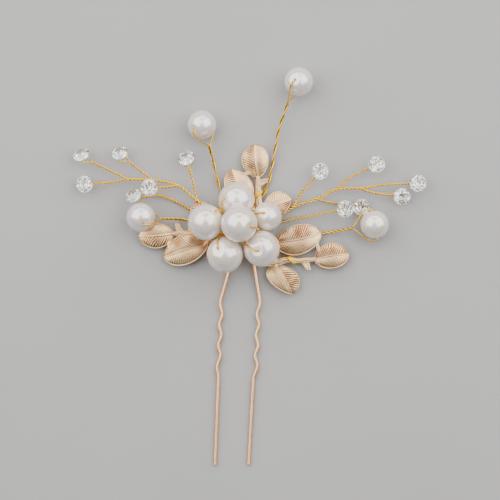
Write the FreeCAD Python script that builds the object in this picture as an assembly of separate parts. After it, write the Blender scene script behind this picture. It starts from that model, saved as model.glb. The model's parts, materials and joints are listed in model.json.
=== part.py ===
import FreeCAD, Part
import math
import os

# A decorative hair pin: a two-legged wire pin whose crown carries pearls, faceted stones on
# twisted wire sprigs, and stamped leaf branches, all bound on with gold wire.
# Millimetres. The pin lies flat: +Y runs from the leg tips to the crown, +Z up off the table.
# The origin is on the table, under the middle of the whole spray.

# ---- Driving dimensions ----
pin_wire_radius = 0.5
tip_y = -55.0
left_tip_x = -9.7
right_tip_x = -0.4
tip_height = 0.5  # wire centre above the table at the leg tips
crown_height = 1.1  # wire centre above the table from y = 0 up
crown_centre = (-2.1, 11.5)
crown_radius = 3.2
straight_top_y = -31.0  # the legs are straight from here to the tips
crimp_top_y = -10.8
crimp_pitch = 2.85  # from one crimp to the next, which leans the other way
crimp_count = 7
crimp_depth = 0.55
spread_y = 0.5  # the legs run straight down to here from the crown, then spread to the crimps
pin_bend = 5.0
# Each row: the crimps' middle at the top, its drift from one crimp to the next, the first crimp's
# side, then x at the top of the straight run and x at the tip.
leg_rows = {
    "left": (-7.95, -0.13, -1, -8.8, left_tip_x),
    "right": (2.35, -0.12, 1, 0.95, right_tip_x),
}

least_turn = 0.02  # radians; a wire's corner that turns less than this has no arc
arc_share = 0.45  # an arc takes at most this share of each run beside it

thread_radius = 0.2  # single wire, as it runs through a pearl
bore_radius = 0.27
countersink_radius = 0.6
countersink_depth = 0.35
twist_radius = 0.32  # two twisted wires, taken as one round wire
stem_radius = 0.38  # heavier twist that carries a pearl
stem_bend = 6.0
twig_bend = 5.0
sprig_bend = 4.0
root_inset = 0.12  # from a fork's corner to the twig's end face, which stays inside its knot
fork_knot_share = 1.4  # the knot at each fork, against the stem's radius
knot_share = 1.25  # the knot at a stem's end, against the stem's radius
stone_wire_radius = 0.14
winding_radius = 0.25  # wire wound on the pin
winding_pitch = 0.44  # less than a wound wire is thick, so that neighbouring turns join
seat_depth = 0.04  # how far a wound wire beds on what it is wound on
binding_station = -0.9  # the middle of the winding at the crown's top
binding_turns = 3

large_pearl = 5.0  # radii
small_pearl = 4.0
mouth_gap = 0.55  # from a pearl's surface to the middle of the wire that turns over it
thread_bend = 0.45  # how tightly the thin wire turns
corner_stretch = 1.05  # corners of a wire round a pearl stand this much further out than its arcs
corner_step = 32  # degrees round a pearl from one corner to the next
side_overlap = 15  # degrees that the wire lies round a pearl past its side

stone_radius = 2.35
stone_table = 1.3
stone_crown_height = 0.85
stone_girdle = 0.16
stone_depth = 1.95
stone_sides = 12
stone_bore_radius = 0.22
stone_bore_drop = 1.15  # from the girdle's middle down to the bore
stone_loop_half = 1.65  # from the bore's middle to each corner of the loop through it
stone_loop_shoulder = 0.6
stone_loop_length = 2.4  # from the bore's middle back to the twig's end
stone_loop_bend = 0.3
stone_tip_share = 0.2  # the flat at the stone's tip, against its radius

leaf_plane = 2.0
leaf_sheet = 0.3
leaf_arch = 1.5  # a leaf's dome radius over its length
stalk_radius = 0.4
stalk_bend = 1.5
saddle_half = 0.9  # how far a stalk lies over the pin, to each side
tab_radius = 0.28
stub_radius = 0.35
prong_radius = 0.25
lashing_turns = 3
lashing_pitch = 1.9 * thread_radius
lashing_drop = 0.62  # the lashing's tail runs this far under the leaves' plane


def vec(point):
    return FreeCAD.Vector(*point)


def unit(vector):
    return vector / vector.Length


def save(name, shape):
    shape.exportStep("parts/" + name + ".step")


# ---- Wire ----
def rounded_path(points, bend):
    """Straight runs through the points, with a tangent arc of about the bend radius at each corner."""
    points = [vec(p) for p in points]
    edges = []
    start = points[0]
    for before, corner, after in zip(points, points[1:], points[2:]):
        back = unit(before - corner)
        on = unit(after - corner)
        turn = math.pi - back.getAngle(on)
        if turn < least_turn:
            continue
        room = arc_share * min((before - corner).Length, (after - corner).Length)
        setback = min(bend * math.tan(turn / 2), room)
        radius = setback / math.tan(turn / 2)
        inward = unit(back + on)
        centre = corner + inward * (radius / math.cos(turn / 2))
        entry = corner + back * setback
        leave = corner + on * setback
        edges.append(Part.LineSegment(start, entry).toShape())
        edges.append(Part.Arc(entry, centre - inward * radius, leave).toShape())
        start = leave
    edges.append(Part.LineSegment(start, points[-1]).toShape())
    return Part.Wire(edges)


def tube(points, radius, bend):
    path = rounded_path(points, bend)
    direction = vec(points[1]) - vec(points[0])
    section = Part.Wire(Part.makeCircle(radius, vec(points[0]), direction))
    return path.makePipeShell([section], True, False)


def fused(shapes):
    whole = shapes[0]
    for shape in shapes[1:]:
        whole = whole.fuse(shape)
    return whole


# ---- The pin ----
def pin_height(y):
    share = min(1.0, (y - tip_y) / -tip_y)
    return tip_height + (crown_height - tip_height) * share


def leg(top_x, crimp_x, crimp_drift, first_side, straight_x, tip_x):
    """Points down one leg: a spread run, the crimps, and a straight run to the tip."""
    points = [(top_x, crown_centre[1]), (top_x, spread_y)]
    for i in range(crimp_count):
        side = first_side * (-1) ** i
        x = crimp_x + crimp_drift * i + crimp_depth * side
        points.append((x, crimp_top_y - crimp_pitch * i))
    points.append((straight_x, straight_top_y))
    points.append((tip_x, tip_y))
    return [(x, y, pin_height(y)) for x, y in points]


def hair_pin():
    cx, cy = crown_centre
    left = leg(cx - crown_radius, *leg_rows["left"])
    right = leg(cx + crown_radius, *leg_rows["right"])
    corner = crown_radius * math.tan(math.pi / 8)
    arch = [
        (cx - crown_radius, cy + corner, crown_height),
        (cx - corner, cy + crown_radius, crown_height),
        (cx + corner, cy + crown_radius, crown_height),
        (cx + crown_radius, cy + corner, crown_height),
    ]
    return tube(left[:0:-1] + arch + right[1:], pin_wire_radius, pin_bend)


def station(along):
    """A point on the crown's centreline and its outward direction.
    along is measured from the crown's top, positive towards the right leg."""
    quarter = crown_radius * math.pi / 2
    side = 1 if along > 0 else -1
    if abs(along) > quarter:
        x = crown_centre[0] + side * crown_radius
        y = crown_centre[1] - (abs(along) - quarter)
        return FreeCAD.Vector(x, y, crown_height), FreeCAD.Vector(side, 0, 0)
    angle = math.pi / 2 - along / crown_radius
    outward = FreeCAD.Vector(math.cos(angle), math.sin(angle), 0)
    middle = FreeCAD.Vector(crown_centre[0], crown_centre[1], crown_height)
    return middle + outward * crown_radius, outward


def ring(along, wire_radius):
    """One turn of wire bedded on the pin's crown."""
    centre, outward = station(along)
    axis = outward.cross(FreeCAD.Vector(0, 0, 1))
    reach = pin_wire_radius + wire_radius - seat_depth
    return Part.makeTorus(reach, wire_radius, centre, axis)


def rings(along, turns, wire_radius):
    first = along - winding_pitch * (turns - 1) / 2
    return [ring(first + winding_pitch * i, wire_radius) for i in range(turns)]


def ring_side(along, wire_radius, outward_share, up_share):
    """The middle of a turn's wire, at the side that the shares point to."""
    centre, outward = station(along)
    reach = pin_wire_radius + wire_radius - seat_depth
    aim = unit(outward * outward_share + FreeCAD.Vector(0, 0, 1) * up_share)
    return centre + aim * reach


# ---- Pearls ----
def pearl(centre, radius, bore):
    """A sphere with a bore through its middle, countersunk at both mouths."""
    rim = math.sqrt(radius**2 - countersink_radius**2)
    floor = rim - countersink_depth
    corners = [
        vec((countersink_radius, 0, -rim)),
        vec((bore_radius, 0, -floor)),
        vec((bore_radius, 0, floor)),
        vec((countersink_radius, 0, rim)),
    ]
    edges = [Part.LineSegment(p, q).toShape() for p, q in zip(corners, corners[1:])]
    edges.append(Part.Arc(corners[-1], vec((radius, 0, 0)), corners[0]).toShape())
    profile = Part.Face(Part.Wire(edges))
    body = profile.revolve(vec((0, 0, 0)), vec((0, 0, 1)), 360)
    turn = FreeCAD.Rotation(vec((0, 0, 1)), vec(bore))
    body.Placement = FreeCAD.Placement(vec(centre), turn)
    return body


def hug(middle, axis, reach, toward, end_angle):
    """Corners of a wire that leaves a pearl's mouth along the axis and lies round the pearl
    towards a direction, until it is end_angle (radians) from the axis."""
    across = unit(toward - axis * toward.dot(axis))
    steps = max(1, round(end_angle / math.radians(corner_step)))
    corners = [middle + axis * reach]
    for i in range(1, steps + 1):
        angle = end_angle * i / steps
        aim = axis * math.cos(angle) + across * math.sin(angle)
        corners.append(middle + aim * (reach * corner_stretch))
    return corners


# Each row: centre, radius, bore direction (towards the mouth that shows), the station it is tied
# at, the wire's way up to the hidden mouth, the side that it comes back down by, and the way down.
cluster = {
    "centre": (
        (-3.0, 11.7, 15.9), large_pearl, (0.656, -0.14, 0.74), -3.6,
        [(-5.2, 12.8, 3.4), (-6.1, 12.6, 8.4)],
        (1.0, -0.28, 0.0),
        [(1.6, 10.4, 9.0), (-0.6, 10.2, 6.0), (-3.6, 11.8, 3.2)],
    ),
    "top": (
        (-3.7, 18.4, 8.3), large_pearl, (-0.72, 0.05, 0.69), 0.5,
        [(0.2, 15.8, 3.3)],
        (-0.5, -0.87, 0.0),
        [(-5.4, 14.3, 4.6), (-2.2, 15.1, 3.2)],
    ),
    "left": (
        (-12.2, 12.2, 10.8), large_pearl, (0.55, 0.65, 0.53), -11.9,
        [(-7.0, 5.2, 3.4), (-13.4, 8.4, 5.0)],
        (0.94, 0.34, 0.0),
        [(-7.6, 12.0, 5.2), (-6.9, 7.6, 3.4)],
    ),
    "lower_left": (
        (-6.9, 3.3, 10.6), large_pearl, (-0.42, 0.36, 0.83), -14.3,
        [(-4.9, 2.0, 3.4)],
        (-0.17, 0.98, 0.0),
        [(-7.4, 7.4, 5.0), (-6.0, 3.4, 3.0)],
    ),
    "lower_right": (
        (3.2, 4.9, 10.6), large_pearl, (-0.25, -0.13, 0.96), 11.6,
        [(3.2, 5.4, 3.2)],
        (-0.93, 0.36, 0.0),
        [(-0.9, 6.6, 6.0), (0.6, 5.4, 3.0)],
    ),
    "right": (
        (4.8, 13.8, 8.4), small_pearl, (-0.25, 0.25, 0.935), 6.5,
        [(4.0, 11.4, 3.2)],
        (-1.0, 0.03, 0.0),
        [(0.9, 12.6, 5.0), (0.9, 10.6, 3.0)],
    ),
}


def threaded_wire(centre, radius, bore, along, way_up, side, way_down):
    """One wire from its turn on the crown, through a pearl, and back to a second turn."""
    middle = vec(centre)
    axis = unit(vec(bore))
    reach = radius + mouth_gap
    end_angle = axis.getAngle(vec(side)) + math.radians(side_overlap)
    over = hug(middle, axis, reach, vec(side), end_angle)
    first = ring_side(along - winding_pitch / 2, thread_radius, 0.0, 1.0)
    last = ring_side(along + winding_pitch / 2, thread_radius, 0.0, 1.0)
    if along > 0:
        first, last = last, first
    route = [first] + way_up + [middle - axis * reach] + over + way_down + [last]
    strand = tube(route, thread_radius, thread_bend)
    return fused([strand] + rings(along, 2, thread_radius))


# Each row: centre, bore direction, station, and the stem's route from the crown to its loop.
long_stems = {
    "a": (
        (-30.2, 13.6, 5.8), (0.225, -0.5, 0.84), -10.0,
        [(-8.4, 8.0, 0.8), (-16.9, 12.9, 0.8), (-21.0, 13.2, 2.4), (-24.3, 13.2, 4.8)],
    ),
    "b": (
        (-13.3, 39.2, 4.2), (-0.65, -0.35, 0.675), -2.4,
        [(-5.2, 16.2, 0.8), (-8.4, 21.0, 0.9), (-10.0, 28.6, 1.9), (-11.3, 33.4, 3.4)],
    ),
    "c": (
        (13.5, 51.1, 5.3), (-0.3, 0.125, 0.945), 1.9,
        [(1.6, 17.0, 0.7), (5.1, 21.8, 0.8), (6.9, 32.0, 1.6), (8.1, 38.9, 2.6), (10.6, 45.4, 4.2)],
    ),
    "d": (
        (34.5, 11.6, 4.2), (-0.2, 0.98, 0.0), 9.5,
        [(4.0, 7.4, 0.8), (12.0, 8.4, 0.8), (20.0, 9.2, 0.9), (24.9, 9.9, 2.0), (28.7, 10.6, 3.4)],
    ),
}


def pearl_loop(joint, middle, axis):
    """The wire that leaves the stem, lies round the pearl to one mouth, runs through the bore,
    and comes back round from the other mouth."""
    reach = small_pearl + mouth_gap
    arm = joint - middle
    slack = math.acos(reach / arm.Length)
    halves = []
    for way in (axis, axis * -1):
        over = hug(middle, way, reach, arm, way.getAngle(arm) - slack)
        halves.append(tube([middle] + over + [joint], thread_radius, thread_bend))
    return halves


def long_stem(centre, bore, along, route):
    start = ring_side(along, winding_radius, 1.0, 0.0)
    joint = vec(route[-1])
    shapes = [tube([start] + route, stem_radius, stem_bend)]
    shapes.append(Part.makeSphere(stem_radius * knot_share, joint))
    shapes += pearl_loop(joint, vec(centre), unit(vec(bore)))
    return fused(shapes + rings(along, 2, winding_radius))


# ---- Faceted stones ----
def facing(tilt, azimuth):
    """The direction a stone faces: tilted off straight up, towards the azimuth, in degrees."""
    tilt = math.radians(tilt)
    azimuth = math.radians(azimuth)
    level = math.sin(tilt)
    return FreeCAD.Vector(level * math.cos(azimuth), level * math.sin(azimuth), math.cos(tilt))


def stone_levels():
    """Radius and height of each ring of corners, from the table down to the tip."""
    half = stone_girdle / 2
    return [
        (stone_table, half + stone_crown_height),
        (stone_radius, half),
        (stone_radius, -half),
        (stone_radius * stone_tip_share, -half - stone_depth),
    ]


def stone(centre, face, middle, bore):
    levels = stone_levels()
    corners = []
    for radius, height in levels:
        angles = [2 * math.pi * k / stone_sides for k in range(stone_sides)]
        corners.append([vec((radius * math.cos(a), radius * math.sin(a), height)) for a in angles])
    faces = [Part.Face(Part.makePolygon(level + level[:1])) for level in (corners[0], corners[-1])]
    for upper, lower in zip(corners, corners[1:]):
        for k in range(stone_sides):
            n = (k + 1) % stone_sides
            quad = [upper[k], upper[n], lower[n], lower[k], upper[k]]
            faces.append(Part.Face(Part.makePolygon(quad)))
    gem = Part.Solid(Part.Shell(faces))
    turn = FreeCAD.Rotation(FreeCAD.Vector(0, 0, 1), face)
    gem.Placement = FreeCAD.Placement(centre, turn)
    drill_length = 4 * stone_radius
    drill_start = middle - bore * (drill_length / 2)
    return gem.cut(Part.makeCylinder(stone_bore_radius, drill_length, drill_start, bore))


def stone_bore(centre, face, before):
    """The middle of a stone's bore, its direction, and the joint where the twig that comes from
    the point before it opens into a loop. The bore runs square to the twig, and the loop stays
    level with the bore or behind it."""
    middle = centre - face * stone_bore_drop
    aim = before - middle
    aim -= face * max(0, aim.dot(face))
    return middle, unit(face.cross(aim)), middle + unit(aim) * stone_loop_length


# Each row: the stone's centre, its tilt and azimuth, then the twig's points from its root. A root
# that is a number is a station on the crown; otherwise the root is a fork on a main stem.
left_forks = {
    "low": (-14.4, 17.9, 3.5), "a": (-19.7, 22.5, 2.6), "b": (-27.0, 24.0, 2.6), "c": (-34.1, 24.2, 2.6),
}
right_forks = {
    "a": (12.0, 16.8, 1.6), "b": (18.9, 18.6, 2.2), "c": (24.3, 22.0, 2.6), "d": (30.6, 21.6, 2.6),
}
stones = {
    "l1": ((-46.7, 30.9, 4.0), 50, 110, left_forks["c"], [(-38.6, 26.6, 2.6)]),
    "l2": ((-36.0, 31.4, 4.0), 45, 110, left_forks["b"], [(-30.5, 26.6, 2.7)]),
    "l3": ((-45.8, 22.8, 3.6), 8, 200, left_forks["c"], [(-38.6, 23.1, 2.4)]),
    "l4": ((-27.9, 21.8, 5.6), 8, 90, left_forks["a"], [(-22.6, 21.9, 3.6)]),
    "l5": (
        (-32.3, 19.6, 4.2), 45, 115, -8.6,
        [(-6.9, 8.9, 0.6), (-16.4, 15.6, 0.8), (-20.2, 17.9, 0.9), (-25.7, 20.1, 1.0), (-28.9, 19.2, 1.2)],
    ),
    "l6": ((-17.6, 30.0, 4.2), 34, 115, left_forks["low"], [(-15.7, 23.0, 2.8)]),
    "r1": ((19.4, 26.3, 4.2), 7, 130, right_forks["a"], [(14.7, 21.2, 2.0)]),
    "r2": ((35.1, 28.2, 4.0), 8, 140, right_forks["c"], [(28.0, 25.3, 2.6)]),
    "r3": ((46.5, 23.0, 3.8), 6, 0, right_forks["d"], [(36.0, 22.8, 2.5)]),
    "r4": ((42.1, 19.4, 3.6), 16, 300, right_forks["d"], [(34.5, 20.0, 2.2)]),
    "r5": (
        (26.3, 15.9, 5.4), 6, 90, 7.9,
        [(4.6, 10.4, 0.8), (8.6, 12.6, 0.9), (17.9, 14.2, 2.4), (21.4, 15.0, 3.5)],
    ),
    "r6": ((30.8, 16.5, 2.2), 4, 320, right_forks["b"], [(21.4, 17.7, 1.6), (25.0, 17.5, 1.1)]),
}


def stone_loop(joint, middle, bore):
    """The two strands of thin wire from the twig's end to the stone's bore, which meet inside it."""
    shoulder = unit(joint - middle) * stone_loop_shoulder
    halves = []
    for way in (bore, bore * -1):
        corner = middle + way * stone_loop_half
        corners = [middle, corner, corner + shoulder, joint]
        halves.append(tube(corners, stone_wire_radius, stone_loop_bend))
    return halves


def twig(root, route, middle, bore, joint):
    """The twisted wire that carries one stone, with the loop that runs through the stone."""
    on_crown = isinstance(root, float)
    start = ring_side(root, winding_radius, 1.0, 0.0) if on_crown else vec(root)
    if not on_crown:
        start += unit(vec(route[0]) - start) * root_inset
    stem = tube([start] + route + [joint], twist_radius, twig_bend)
    knot = Part.makeSphere(twist_radius * knot_share, joint, joint - vec(route[-1]))
    shapes = [stem, knot] + stone_loop(joint, middle, bore)
    if on_crown:
        shapes += rings(root, 2, winding_radius)
    return fused(shapes)


main_stems = {
    "left": (
        -4.9,
        [(-8.4, 14.2, 3.4), (-11.0, 15.7, 3.7), left_forks["low"], (-17.6, 20.9, 2.8), left_forks["a"],
         (-23.6, 23.5, 2.6), left_forks["b"], left_forks["c"]],
        left_forks,
    ),
    "right": (
        5.1,
        [(4.4, 12.4, 0.8), (8.8, 14.2, 0.9), right_forks["a"], right_forks["b"], right_forks["c"],
         right_forks["d"]],
        right_forks,
    ),
}


def main_stem(along, route, forks):
    """The main stem of a sprig, with a knot where each twig leaves it."""
    start = ring_side(along, winding_radius, 1.0, 0.0)
    stem = tube([start] + route, stem_radius, sprig_bend)
    knots = []
    for before, fork, after in zip(route, route[1:], route[2:] + route[-1:]):
        if fork in forks.values():
            way = vec(after) - vec(before)
            knots.append(Part.makeSphere(stem_radius * fork_knot_share, vec(fork), way))
    return fused([stem] + knots + rings(along, 2, winding_radius))


# ---- Leaf branches ----
# Local directions of a branch: u runs from its root to the end leaf's tip, v to the left of that,
# w up. Leaves: base, tip and width.
branch_length = 22.0
end_leaf = ((12.1, 0.0), (22.0, 0.0), 7.1)
third_leaf = ((1.5, 0.4), (4.7, -8.7), 7.8)
side_leaf_width = 8.4
tab = [(13.9, 2.1, 0.3), (13.4, 5.0, 0.45)]
stub = [(0.0, 0.1), (1.0, -2.0)]  # this and the prongs are measured from the stub's root
prongs = [[(0.9, -1.8), (1.7, -2.7)], [(0.9, -1.8), (0.7, -2.9)]]
# Each branch: the end leaf's tip, its heading in degrees, how its length compares with the full
# one, its side leaf (its stalk's bend, its base and its tip), u at its stub and at its lashing,
# the station where its stalk crosses the crown, and the one where its lashing's tail is tied.
branches = {
    "top": (
        (1.3, 33.7), 95.6, 0.93, ((2.9, 2.3), (3.4, 4.8), (15.5, 6.9)), 10.3, 7.2, 3.9, 2.8,
    ),
    "left": (
        (-30.9, 8.3), 184.6, 1.0, ((1.9, 2.6), (3.0, 3.7), (15.5, 6.4)), 10.3, 7.0, -6.4, -7.5,
    ),
    "right": (
        (27.5, 3.4), 8.6, 1.0, ((1.9, 5.1), (1.8, 6.2), (15.3, 6.7)), 9.5, 5.9, 15.2, 14.0,
    ),
}


def branch_place(tip, heading, stretch):
    """A function from a branch's local u, v, w to a point of the part."""
    angle = math.radians(heading)
    along = FreeCAD.Vector(math.cos(angle), math.sin(angle), 0)
    left = FreeCAD.Vector(-math.sin(angle), math.cos(angle), 0)
    root = FreeCAD.Vector(tip[0], tip[1], leaf_plane) - along * (branch_length * stretch)

    def place(u, v, w=0.0):
        return root + along * (u * stretch) + left * v + FreeCAD.Vector(0, 0, w)

    return place


def leaf(base, tip, width):
    """A thin domed leaf whose base and tip lie in the plane of the stalk."""
    length = (tip - base).Length
    middle = (base + tip) / 2
    across = unit(FreeCAD.Vector(0, 0, 1).cross(tip - base)) * (width / 2)
    edges = [Part.Arc(base, middle + across, tip), Part.Arc(tip, middle - across, base)]
    outline = Part.Wire([edge.toShape() for edge in edges])
    outline.translate(FreeCAD.Vector(0, 0, -length / 4))
    block = Part.Face(outline).extrude(FreeCAD.Vector(0, 0, length / 2))
    dome = leaf_arch * length
    rise = dome - math.sqrt(dome**2 - length**2 / 4)
    centre = middle + FreeCAD.Vector(0, 0, rise - dome)
    outer = Part.makeSphere(dome + leaf_sheet / 2, centre, FreeCAD.Vector(1, 0, 0))
    inner = Part.makeSphere(dome - leaf_sheet / 2, centre, FreeCAD.Vector(1, 0, 0))
    return block.common(outer).cut(inner)


def leaf_branch(place, side_leaf, stub_u, crossing):
    """One stamped branch: its stalk, three leaves, the tab between two of them, and the stub."""
    bar, outward = station(crossing)
    over = FreeCAD.Vector(0, 0, pin_wire_radius + stalk_radius - seat_depth)
    bend, side_base, side_tip = side_leaf
    stalks = [
        [(1.0, 0.2), (5.0, 0.4), (13.6, 0.0)],
        [(1.4, 0.2), bend, (side_base[0] + 1.4, side_base[1] + 0.3, 0.1)],
        [(1.4, 0.3), (1.8, -0.8, 0.1)],
    ]
    routes = [[place(*point) for point in stalk] for stalk in stalks]
    routes[0] = [bar - outward * saddle_half + over, bar + outward * saddle_half + over] + routes[0]
    shapes = [tube(route, stalk_radius, stalk_bend) for route in routes]
    for base, end, width in (end_leaf, (side_base, side_tip, side_leaf_width), third_leaf):
        shapes.append(leaf(place(*base), place(*end), width))
    shapes.append(tube([place(*point) for point in tab], tab_radius, stalk_bend))
    for route, radius in ((stub, stub_radius), (prongs[0], prong_radius), (prongs[1], prong_radius)):
        shapes.append(tube([place(stub_u + u, v) for u, v in route], radius, stalk_bend))
    return fused(shapes)


def leaf_lashing(place, lashing_u, along):
    """Gold wire tied round a leaf stalk, with its tail run back to a turn on the crown."""
    middle = place(lashing_u, 0.3)
    axis = place(lashing_u + 1.0, 0.26) - middle
    reach = stalk_radius + thread_radius - seat_depth
    shapes = []
    for i in range(lashing_turns):
        centre = middle + unit(axis) * (lashing_pitch * (i - (lashing_turns - 1) / 2))
        shapes.append(Part.makeTorus(reach, thread_radius, centre, axis))
    tail = [middle - FreeCAD.Vector(0, 0, reach)]
    tail += [place(5.0, 0.4, -lashing_drop), place(2.2, 0.3, -lashing_drop)]
    tail.append(ring_side(along, thread_radius, 1.0, 0.3))
    shapes.append(tube(tail, thread_radius, stalk_bend))
    shapes.append(ring(along, thread_radius))
    return fused(shapes)


# ---- Making every piece ----
os.makedirs("parts", exist_ok=True)

pin = hair_pin()
save("hair_pin", pin)
save("crown_winding", fused(rings(binding_station, binding_turns, winding_radius)).cut(pin))

for name, (tip, heading, stretch, side_leaf, stub_u, lashing_u, crossing, along) in branches.items():
    place = branch_place(tip, heading, stretch)
    branch = leaf_branch(place, side_leaf, stub_u, crossing).cut(pin)
    save("leaf_branch_" + name, branch)
    save("leaf_lashing_" + name, leaf_lashing(place, lashing_u, along).cut(pin).cut(branch))

for name, row in cluster.items():
    save("pearl_" + name, pearl(row[0], row[1], row[2]))
    save("wire_pearl_" + name, threaded_wire(*row).cut(pin))

for name, (centre, bore, along, route) in long_stems.items():
    save("pearl_stem_" + name, pearl(centre, small_pearl, bore))
    save("stem_" + name, long_stem(centre, bore, along, route).cut(pin))

sprigs = {side: main_stem(*row).cut(pin) for side, row in main_stems.items()}
for side, sprig in sprigs.items():
    save("sprig_" + side, sprig)

by_root = {}
for name, (centre, tilt, azimuth, root, route) in stones.items():
    face = facing(tilt, azimuth)
    middle, bore, joint = stone_bore(vec(centre), face, vec(route[-1]))
    save("crystal_" + name, stone(vec(centre), face, middle, bore))
    carrier = twig(root, route, middle, bore, joint).cut(pin)
    if root not in by_root:
        by_root[root] = [sprigs["left" if name[0] == "l" else "right"]]
    for neighbour in by_root[root]:
        carrier = carrier.cut(neighbour)
    by_root[root].append(carrier)
    save("twig_" + name, carrier)
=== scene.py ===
import json
import math

import bpy
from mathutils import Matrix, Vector, noise

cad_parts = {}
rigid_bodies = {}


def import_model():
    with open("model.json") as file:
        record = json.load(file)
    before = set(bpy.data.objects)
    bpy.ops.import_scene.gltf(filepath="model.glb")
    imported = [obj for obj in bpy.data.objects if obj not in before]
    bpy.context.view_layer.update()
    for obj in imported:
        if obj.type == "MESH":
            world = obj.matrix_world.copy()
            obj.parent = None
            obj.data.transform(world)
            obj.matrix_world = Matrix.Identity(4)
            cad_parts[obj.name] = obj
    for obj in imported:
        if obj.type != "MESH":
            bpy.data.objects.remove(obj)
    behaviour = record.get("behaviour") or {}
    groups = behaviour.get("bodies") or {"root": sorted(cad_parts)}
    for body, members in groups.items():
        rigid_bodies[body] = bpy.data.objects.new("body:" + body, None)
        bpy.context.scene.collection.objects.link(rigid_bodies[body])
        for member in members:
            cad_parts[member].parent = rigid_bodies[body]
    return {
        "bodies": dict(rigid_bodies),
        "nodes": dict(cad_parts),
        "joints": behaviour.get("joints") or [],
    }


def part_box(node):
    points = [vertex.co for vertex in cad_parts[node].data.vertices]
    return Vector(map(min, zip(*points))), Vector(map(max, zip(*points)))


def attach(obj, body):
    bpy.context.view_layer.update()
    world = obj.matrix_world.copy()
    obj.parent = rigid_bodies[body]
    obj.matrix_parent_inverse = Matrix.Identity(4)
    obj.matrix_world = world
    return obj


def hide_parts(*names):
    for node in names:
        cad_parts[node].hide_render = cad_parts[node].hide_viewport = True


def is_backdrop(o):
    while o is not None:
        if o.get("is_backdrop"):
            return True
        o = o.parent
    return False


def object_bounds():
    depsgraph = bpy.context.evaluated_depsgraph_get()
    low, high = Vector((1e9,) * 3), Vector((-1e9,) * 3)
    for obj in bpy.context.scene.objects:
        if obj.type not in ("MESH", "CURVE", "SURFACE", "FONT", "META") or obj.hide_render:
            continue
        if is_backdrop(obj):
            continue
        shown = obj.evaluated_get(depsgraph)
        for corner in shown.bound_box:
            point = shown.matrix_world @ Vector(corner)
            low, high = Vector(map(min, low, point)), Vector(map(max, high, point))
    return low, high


# The looks of a decorative hair pin. Lengths are in millimetres until a mesh is made, and the
# routes, dimensions and names are those of the CAD model.
MM = 0.001

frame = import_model()
cad_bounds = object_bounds()

# ---- Dimensions shared with the CAD model ----
PIN_RADIUS = 0.5
CROWN_HEIGHT = 1.1
CROWN_CENTRE = (-2.1, 11.5)
CROWN_RADIUS = 3.2
THREAD = 0.24  # radius of the single wire through a pearl
STEM_STRAND = 0.215  # radius of each of the two wires twisted into a stem
TWIG_STRAND = 0.18
SPRIG_PITCH = 2.3
TWIG_PITCH = 1.9
WINDING_PITCH = 0.44
PEARL_BORE = 0.27
MOUTH_GAP = 0.55  # how far past a pearl's mouth its wire runs straight
BORE_INSET = 0.6  # how far inside a pearl's mouth its wire's corners are
# How deep and how wide the dimple round a pearl's bore is. Two of the pearls have a wider one.
DIMPLE = (0.26, 0.78)
WIDE_DIMPLES = {"pearl_lower_left": (0.36, 1.0), "pearl_lower_right": (0.44, 1.25)}
STONE_BORE_DROP = 1.15
STONE_LOOP_HALF = 1.65
STONE_LOOP_SHOULDER = 0.6
STONE_LOOP_LENGTH = 2.4
LEAF_PLANE = 2.0
LEAF_SHEET = 0.24
BRANCH_LENGTH = 22.0
# The leaves and the tab are placed by u to the branch's tip, v to its left and w up.
END_LEAF = ((12.1, 0.0), (22.0, 0.0))
THIRD_LEAF = ((1.5, 0.4), (4.7, -8.7))
THIRD_LEAF_WIDTH = 7.9
TAB = ((13.9, 1.9, 0.35), (13.5, 4.9, 0.5))
LASHING_TURNS = 2.5
LASHING_REACH = 1.15
LASHING_HEIGHT = 0.56
LASHING_SLANT = 0.75
UP = Vector((0, 0, 1))

# Each row: the station it is tied at, the way up to the hidden mouth, the side that the wire
# comes back down by, and the way down.
CLUSTER = {
    "centre": (
        -3.6, [(-5.2, 12.8, 3.4), (-6.1, 12.6, 8.4)], (1.0, -0.28, 0.0),
        [(1.6, 10.4, 9.0), (-0.6, 10.2, 6.0), (-3.6, 11.8, 3.2)],
    ),
    "top": (0.5, [(0.2, 15.8, 3.3)], (-0.5, -0.87, 0.0), [(-5.4, 14.3, 4.6), (-2.2, 15.1, 3.2)]),
    "left": (
        -11.9, [(-7.0, 5.2, 3.4), (-13.4, 8.4, 5.0)], (0.94, 0.34, 0.0),
        [(-7.6, 12.0, 5.2), (-6.9, 7.6, 3.4)],
    ),
    "lower_left": (
        -14.3, [(-4.9, 2.0, 3.4)], (-0.17, 0.98, 0.0), [(-7.4, 7.4, 5.0), (-6.0, 3.4, 3.0)],
    ),
    "lower_right": (
        11.6, [(3.2, 5.4, 3.2)], (-0.93, 0.36, 0.0), [(-0.9, 6.6, 6.0), (0.6, 5.4, 3.0)],
    ),
    "right": (6.5, [(4.0, 11.4, 3.2)], (-1.0, 0.03, 0.0), [(0.9, 12.6, 5.0), (0.9, 10.6, 3.0)]),
}
# Each row: station, route from the crown to the loop, and the twist's pitch.
LONG_STEMS = {
    "a": (-10.0, [(-8.4, 8.0, 0.8), (-16.9, 12.9, 0.8), (-21.0, 13.2, 2.4), (-24.3, 13.2, 4.8)], 2.6),
    "b": (-2.4, [(-5.2, 16.2, 0.8), (-8.4, 21.0, 0.9), (-10.0, 28.6, 1.9), (-11.3, 33.4, 3.4)], 9.0),
    "c": (
        1.9,
        [(1.6, 17.0, 0.7), (5.1, 21.8, 0.8), (6.9, 32.0, 1.6), (8.1, 38.9, 2.6), (10.6, 45.4, 4.2)],
        8.0,
    ),
    "d": (
        9.5,
        [(4.0, 7.4, 0.8), (12.0, 8.4, 0.8), (20.0, 9.2, 0.9), (24.9, 9.9, 2.0), (28.7, 10.6, 3.4)],
        2.8,
    ),
}
LEFT_FORKS = {
    "low": (-14.4, 17.9, 3.5), "a": (-19.7, 22.5, 2.6), "b": (-27.0, 24.0, 2.6), "c": (-34.1, 24.2, 2.6),
}
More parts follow.
